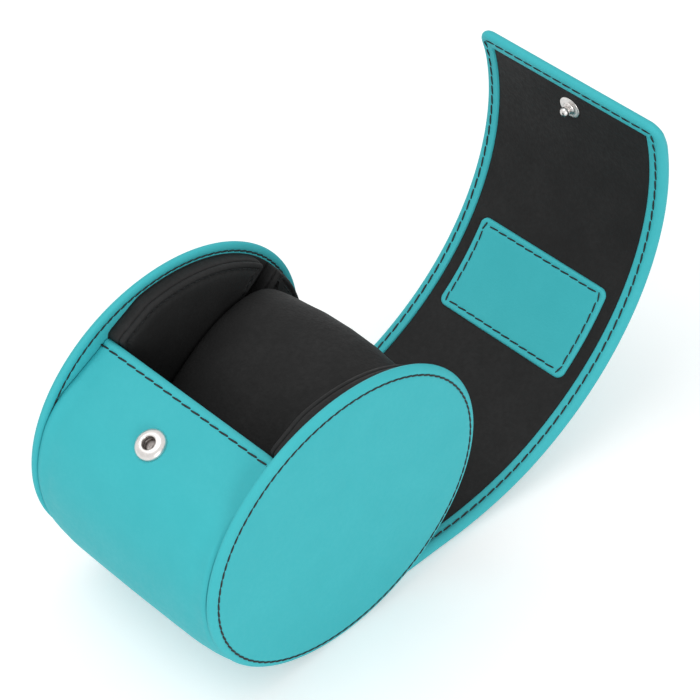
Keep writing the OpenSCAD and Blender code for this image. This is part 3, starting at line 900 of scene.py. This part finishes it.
def make_pad(name, label, side, inside, centre, stitch_in):
    edge = outline(inside, centre, PAD_TURNS)
    inward = loop_normals(edge)
    around = np.linalg.norm(np.roll(edge, -1, axis=0) - edge, axis=1).sum()
    puckers = round(around / PAD_PITCH)
    wave = np.cos(2 * math.pi * puckers * np.arange(PAD_TURNS) / PAD_TURNS)
    middle = edge.mean(axis=0)
    rings = []
    for d, depth in PAD_SECTION:
        line = edge + inward * d
        if d > 0.5:
            line = soften(line, 2 + int(d * 2))
        rings.append((line, depth - 0.13 * wave * float(hump(d, PAD_SEAM + 0.25, 0.6))))
    last = rings[-1][0]
    for share, depth in ((0.85, 6.02), (0.6, 6.05), (0.3, 6.07), (0.08, 6.08)):
        rings.append((middle + (last - middle) * share, np.full(PAD_TURNS, depth)))
    points = []
    for line, depth in rings:
        points += [(side * (XI - h), y, z) for (y, z), h in zip(line, depth)]
    faces = close_ends(grid_faces(len(rings), PAD_TURNS), len(rings), PAD_TURNS)
    pad = make_piece(f"{name}_{label}_soft", points, faces, BLACK)
    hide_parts(f"{name}_{label}")
    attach(pad, "shell")
    seam = soften(edge + inward * stitch_in, 4)
    seam = np.vstack([seam, seam[:1]])
    places, ways = along(seam, PAD_PITCH)
    face = PAD_SECTION[10:]
    depth = float(np.interp(stitch_in, [d for d, _ in face], [h for _, h in face]))
    full = np.column_stack([np.full(len(places), side * (XI - depth - 0.02)), places])
    ways = np.column_stack([np.zeros(len(ways)), ways])
    ups = np.tile([-side * 1.0, 0, 0], (len(full), 1))
    row = stitches(f"{name}_stitches_{label}", full, ways, ups, length=2.0, width=0.42, slant=0)
    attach(row, "shell")


# ---- pillow ----
PILLOW_A, PILLOW_B = 30.5, 20.5
PILLOW_CROWN = 2.2
PILLOW_BACK = 2.1
PILLOW_TILT = math.radians(38.7)
PILLOW_Y = 10.3
PILLOW_TURNS = 144
# place along the pillow and growth of its section there: below zero in mm, above zero as a share of the crown
PILLOW_ROWS = [
    (0.0, 1.0), (0.33, 0.86), (0.66, 0.4), (0.8, 0.16), (0.88, 0.0),
    (0.93, -0.45), (0.96, -1.1), (0.982, -2.0), (0.995, -3.3), (1.0, -4.2)
]
PILLOW_ENDS = np.array([0.91, 0.93, 0.945, 0.96, 0.975, 0.985, 0.993, 0.998, 1])


def pillow_growth(t):
    grow = np.interp(abs(t), [r[0] for r in PILLOW_ROWS], [r[1] for r in PILLOW_ROWS])
    return grow * PILLOW_CROWN if grow > 0 else grow


def make_pillow():
    rows = np.concatenate([-PILLOW_ENDS[::-1], np.linspace(-0.88, 0.88, 49), PILLOW_ENDS])
    growth = np.array([pillow_growth(t) for t in rows])
    points = []
    for t, g in zip(rows, growth):
        for k in range(PILLOW_TURNS):
            q = 2 * math.pi * k / PILLOW_TURNS
            c, s = math.cos(q), math.sin(q)
            u = (PILLOW_A + g + (PILLOW_BACK if c > 0 else 0.0)) * math.copysign(abs(c) ** 0.88, c)
            v = (PILLOW_B + g) * math.copysign(abs(s) ** 0.88, s)
            slack = 0.18 * math.sin(7 * q + 5 * t) * math.sin(9 * t + 2 * q) * float(smoothstep(0.2, 0.8, abs(t)))
            u, v = u * (1 + slack / 40), v * (1 + slack / 30)
            y = PILLOW_Y + u * math.cos(PILLOW_TILT) - v * math.sin(PILLOW_TILT)
            z = u * math.sin(PILLOW_TILT) + v * math.cos(PILLOW_TILT)
            points.append((t * (PAD_X - 0.1), y, z))
    faces = close_ends(grid_faces(len(rows), PILLOW_TURNS), len(rows), PILLOW_TURNS)
    pillow = make_piece("pillow_soft", points, faces, BLACK)
    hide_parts("pillow_cover", "pillow_core")
    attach(pillow, "shell")


# ---- patch ----
PATCH_ROWS = [0, 0.1, 0.35, 0.75, 1.3, 1.75, 2.0, 2.3, 2.9, 3.8, 5.2]
PATCH_LEVELS = [0.1, 0.5, 0.74, 0.84, 0.82, 0.68, 0.62, 0.7, 0.8, 0.82, 0.8]
PATCH_SEAM = 2.0
PATCH_R = 2.5


def make_patch():
    """A thin leather patch that follows the lining, with rounded edges and a sunk seam."""
    half = PATCH_H / 2
    centre = FLAP_END - PATCH_AT
    xs = sheet_rows(0, PATCH_HALF - PATCH_ROWS[-1], 1.0) + [PATCH_HALF - e for e in reversed(PATCH_ROWS)][1:]
    ys = sheet_rows(0, half - PATCH_ROWS[-1], 1.0) + [half - e for e in reversed(PATCH_ROWS)][1:]
    xs = [-v for v in reversed(xs[1:])] + xs
    ys = [-v for v in reversed(ys[1:])] + ys
    top, bottom = [], []
    for v in ys:
        for x in xs:
            side, end = PATCH_HALF - abs(x), half - abs(v)
            d = min(side, end)
            dx, ds = round_corner(side, end, PATCH_R)
            level = float(np.interp(d, PATCH_ROWS, PATCH_LEVELS))
            phase = 2 * math.pi * (x if end < side else v) / PATCH_PITCH
            level += 0.05 * math.cos(phase) * float(hump(d, PATCH_SEAM, 0.35))
            at = (math.copysign(PATCH_HALF - dx, x), centre + math.copysign(half - ds, v))
            top.append((*at, FLAP_T - LINING_STEP + level))
            bottom.append((*at, FLAP_T - LINING_STEP - 0.1))
    rows = np.array(top + bottom)
    points = on_sheet(rows[:, 0], rows[:, 1], rows[:, 2])
    w, n, under = len(xs), len(ys), len(top)
    faces = []
    for i in range(n - 1):
        for j in range(w - 1):
            a = i * w + j
            faces.append((a, a + 1, a + w + 1, a + w))
            faces.append((under + a + w, under + a + w + 1, under + a + 1, under + a))
    rim = [j for j in range(w)] + [i * w + w - 1 for i in range(1, n)]
    rim += [(n - 1) * w + j for j in range(w - 2, -1, -1)] + [i * w for i in range(n - 2, 0, -1)]
    for a, b in zip(rim, rim[1:] + rim[:1]):
        faces.append((b, a, under + a, under + b))
    patch = make_piece("patch_soft", points, faces, TEAL)
    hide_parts("patch")
    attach(patch, "panel_4")
    inset, r = PATCH_SEAM, 0.8
    w, h = PATCH_HALF - inset, half - inset
    quarter = [(w - r + r * math.cos(a), h - r + r * math.sin(a)) for a in np.linspace(0, math.pi / 2, 6)]
    ring = quarter + [(-x, v) for x, v in reversed(quarter)]
    ring += [(-x, -v) for x, v in quarter] + [(x, -v) for x, v in reversed(quarter)]
    ring = np.array(ring + ring[:1])
    middle, way = along(ring, PATCH_PITCH, start=0.0)
    height = np.full(len(middle), FLAP_T - LINING_STEP + 0.66)
    places = on_sheet(middle[:, 0], centre + middle[:, 1], height)
    ahead = on_sheet(middle[:, 0] + way[:, 0] * 0.2, centre + middle[:, 1] + way[:, 1] * 0.2, height)
    ways = (ahead - places) / np.linalg.norm(ahead - places, axis=1, keepdims=True)
    _, inward, _ = spot(centre + middle[:, 1])
    ups = np.column_stack([np.zeros(len(inward)), inward])
    row = stitches("patch_stitches", places, ways, ups, length=3.45, width=0.5)
    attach(row, "panel_4")


# ---- snap fastener ----
def lathe(name, profile, place, heading, material, turns=72):
    """A turned piece: profile is radius and height, along the normal of a sheet with that heading."""
    along_y = np.array([0, math.cos(heading), math.sin(heading)])
    up = np.array([0, -math.sin(heading), math.cos(heading)])
    right = np.array([1.0, 0, 0])
    origin = np.array([SNAP_X, place[0], place[1]])
    points = []
    for r, h in profile:
        for k in range(turns):
            a = 2 * math.pi * k / turns
            points.append(origin + right * r * math.cos(a) + along_y * r * math.sin(a) + up * h)
    closed = profile[0] == profile[-1]
    rows = len(profile) - 1 if closed else len(profile)
    points = points[: rows * turns]
    faces = grid_faces(rows, turns)
    if closed:
        last = (rows - 1) * turns
        faces += [(last + j, last + (j + 1) % turns, (j + 1) % turns, j) for j in range(turns)]
    else:
        close_ends(faces, rows, turns)
    return make_piece(name, points, faces, material)


def arc(cx, cz, r, a0, a1, steps):
    return [(cx + r * math.cos(a), cz + r * math.sin(a)) for a in np.radians(np.linspace(a0, a1, steps))]


def make_snap():
    t = WALL_TOP - WALL_T / 2 - SOCKET_AT
    n = WALL_FLAT + SOCKET_PROUD
    seat = (t * math.cos(SLOPE) - n * math.sin(SLOPE), t * math.sin(SLOPE) + n * math.cos(SLOPE))
    cap = [(1.9, 1.3), (1.9, 0.3), (2.9, 0.3), (2.9, -0.4), (4.5, -0.4), (4.62, -0.1)]
    cap += [(2.45 + 2.2 * math.cos(a), 0.2 + 1.85 * math.sin(a)) for a in np.radians(np.linspace(-8, 90, 15))]
    cap += [(2.25, 2.03), (2.08, 1.94), (1.97, 1.78), (1.91, 1.55), (1.9, 1.3)]
    socket = lathe("snap_socket", cap, seat, SLOPE, NICKEL)
    coil = arc(2.3, 0.8, 0.3, 0, 360, 17)
    coil[-1] = coil[0]
    spring = lathe("snap_spring", coil, seat, SLOPE, BRASS, 48)
    barrel = [(2.0, 0.25), (1.95, -0.5), (1.8, -0.85), (1.5, -1.05), (0.9, -1.15), (0.02, -1.18), (0.02, -2.4)]
    barrel += [(4.1, -2.4), (4.1, -1.9), (2.7, -1.8), (2.7, 0.25), (2.0, 0.25)]
    tube = lathe("snap_barrel", barrel, seat, SLOPE, DARK_NICKEL, 48)
    for piece, node, name in (
        (socket, "socket_cap", "snap_metal"),
        (spring, "socket_spring", "snap_brass"),
        (tube, "socket_barrel", "snap_brass"),
    ):
        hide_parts(node)
        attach(piece, "shell")
    s = FLAP_END - STUD_AT
    outer, inward, _ = spot(s)
    lining = outer[0] + inward[0] * (FLAP_T - LINING_STEP)
    heading = math.atan2(-inward[0][0], inward[0][1])
    stud = [(0.02, -0.3), (3.4, -0.3)] + arc(3.4, 0.12, 0.25, -90, 90, 8)
    stud += [(2.8, 0.42), (2.0, 0.46), (1.86, 0.52), (1.84, 0.66), (1.76, 0.76), (1.6, 0.8), (1.58, 0.88)]
    stud += [(1.7, 0.94), (1.7, 1.06), (1.6, 1.14), (1.4, 1.17), (1.22, 1.22), (1.16, 1.28)]
    stud += arc(0, 2.2, 1.48, -38, 88, 16)
    piece = lathe("snap_stud", stud, lining, heading, NICKEL)
    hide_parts("stud", "stud_rivet")
    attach(piece, "panel_5")


# ---- floor, light, camera ----
WORLD_LIGHT = 0.66
LAMPS = [
    ("lamp_over", (-0.25, -0.35, 1.1), 0.9, 3.3),
    ("lamp_right", (1.05, -0.6, 0.36), 0.5, 3.4),
]
CAMERA_TURN = math.radians(45.16)
CAMERA_RISE = math.radians(42.879)
CAMERA_PLACE = (0.372390, -0.374585, 0.547115)
CAMERA_LENS = 131.56


def seen_directly(nodes, links):
    """1 for rays from the eye, and for those that reach it by a mirror or through glass."""
    path = nodes.new("ShaderNodeLightPath")
    most = path.outputs["Is Camera Ray"]
    for kind in ("Is Glossy Ray", "Is Transmission Ray"):
        node = nodes.new("ShaderNodeMath")
        node.operation = "MAXIMUM"
        links.new(most, node.inputs[0])
        links.new(path.outputs[kind], node.inputs[1])
        most = node.outputs[0]
    return most


def make_floor():
    material, nodes, links, shader = new_material("floor_pale")
    coords = nodes.new("ShaderNodeTexCoord").outputs["Object"]
    tone = noise(nodes, links, coords, 60, 2)
    links.new(mix(nodes, links, tone, (0.90, 0.90, 0.90, 1), (0.93, 0.93, 0.93, 1)), shader.inputs["Base Color"])
    shader.inputs["Roughness"].default_value = 0.9
    shader.inputs["Emission Color"].default_value = (1, 1, 1, 1)
    links.new(ramp(nodes, links, seen_directly(nodes, links), 0, 1, 0.0, 0.32), shader.inputs["Emission Strength"])
    mesh = bpy.data.meshes.new("floor")
    far = 3.0
    mesh.from_pydata([(-far, -far, 0), (far, -far, 0), (far, far, 0), (-far, far, 0)], [], [(0, 1, 2, 3)])
    mesh.materials.append(material)
    floor = bpy.data.objects.new("floor", mesh)
    bpy.context.scene.collection.objects.link(floor)


def make_light():
    world = bpy.data.worlds.new("studio")
    bpy.context.scene.world = world
    world.use_nodes = True
    nodes, links = world.node_tree.nodes, world.node_tree.links
    background = nodes["Background"]
    background.inputs["Color"].default_value = (1, 1, 1, 1)
    strength = ramp(nodes, links, seen_directly(nodes, links), 0, 1, WORLD_LIGHT, 1.0)
    links.new(strength, background.inputs["Strength"])
    for name, place, size, power in LAMPS:
        lamp = bpy.data.lights.new(name, "AREA")
        lamp.shape = "DISK"
        lamp.size = size
        lamp.energy = power
        holder = bpy.data.objects.new(name, lamp)
        holder.location = place
        holder.rotation_euler = (-Vector(place)).to_track_quat("-Z", "Y").to_euler()
        bpy.context.scene.collection.objects.link(holder)


def make_camera():
    data = bpy.data.cameras.new("camera")
    data.sensor_width = 36.0
    data.lens = CAMERA_LENS
    data.clip_start = 0.01
    camera = bpy.data.objects.new("camera", data)
    camera.location = CAMERA_PLACE
    level = math.cos(CAMERA_RISE)
    back = Vector((math.sin(CAMERA_TURN) * level, -math.cos(CAMERA_TURN) * level, math.sin(CAMERA_RISE)))
    camera.rotation_euler = (-back).to_track_quat("-Z", "Y").to_euler()
    bpy.context.scene.collection.objects.link(camera)
    bpy.context.scene.camera = camera


make_sheet()
for side, label in ((1, "right"), (-1, "left")):
    make_disc(side, label)
    make_pad("pad", label, side, in_main_pad, (-8.0, 6.0), PAD_SEAM)
    make_pad("pad_back", label, side, in_back_pad, (26.0, 4.0), 2.6)
make_pillow()
make_patch()
make_snap()
make_floor()
make_light()
make_camera()
bpy.context.scene.view_settings.view_transform = "Standard"
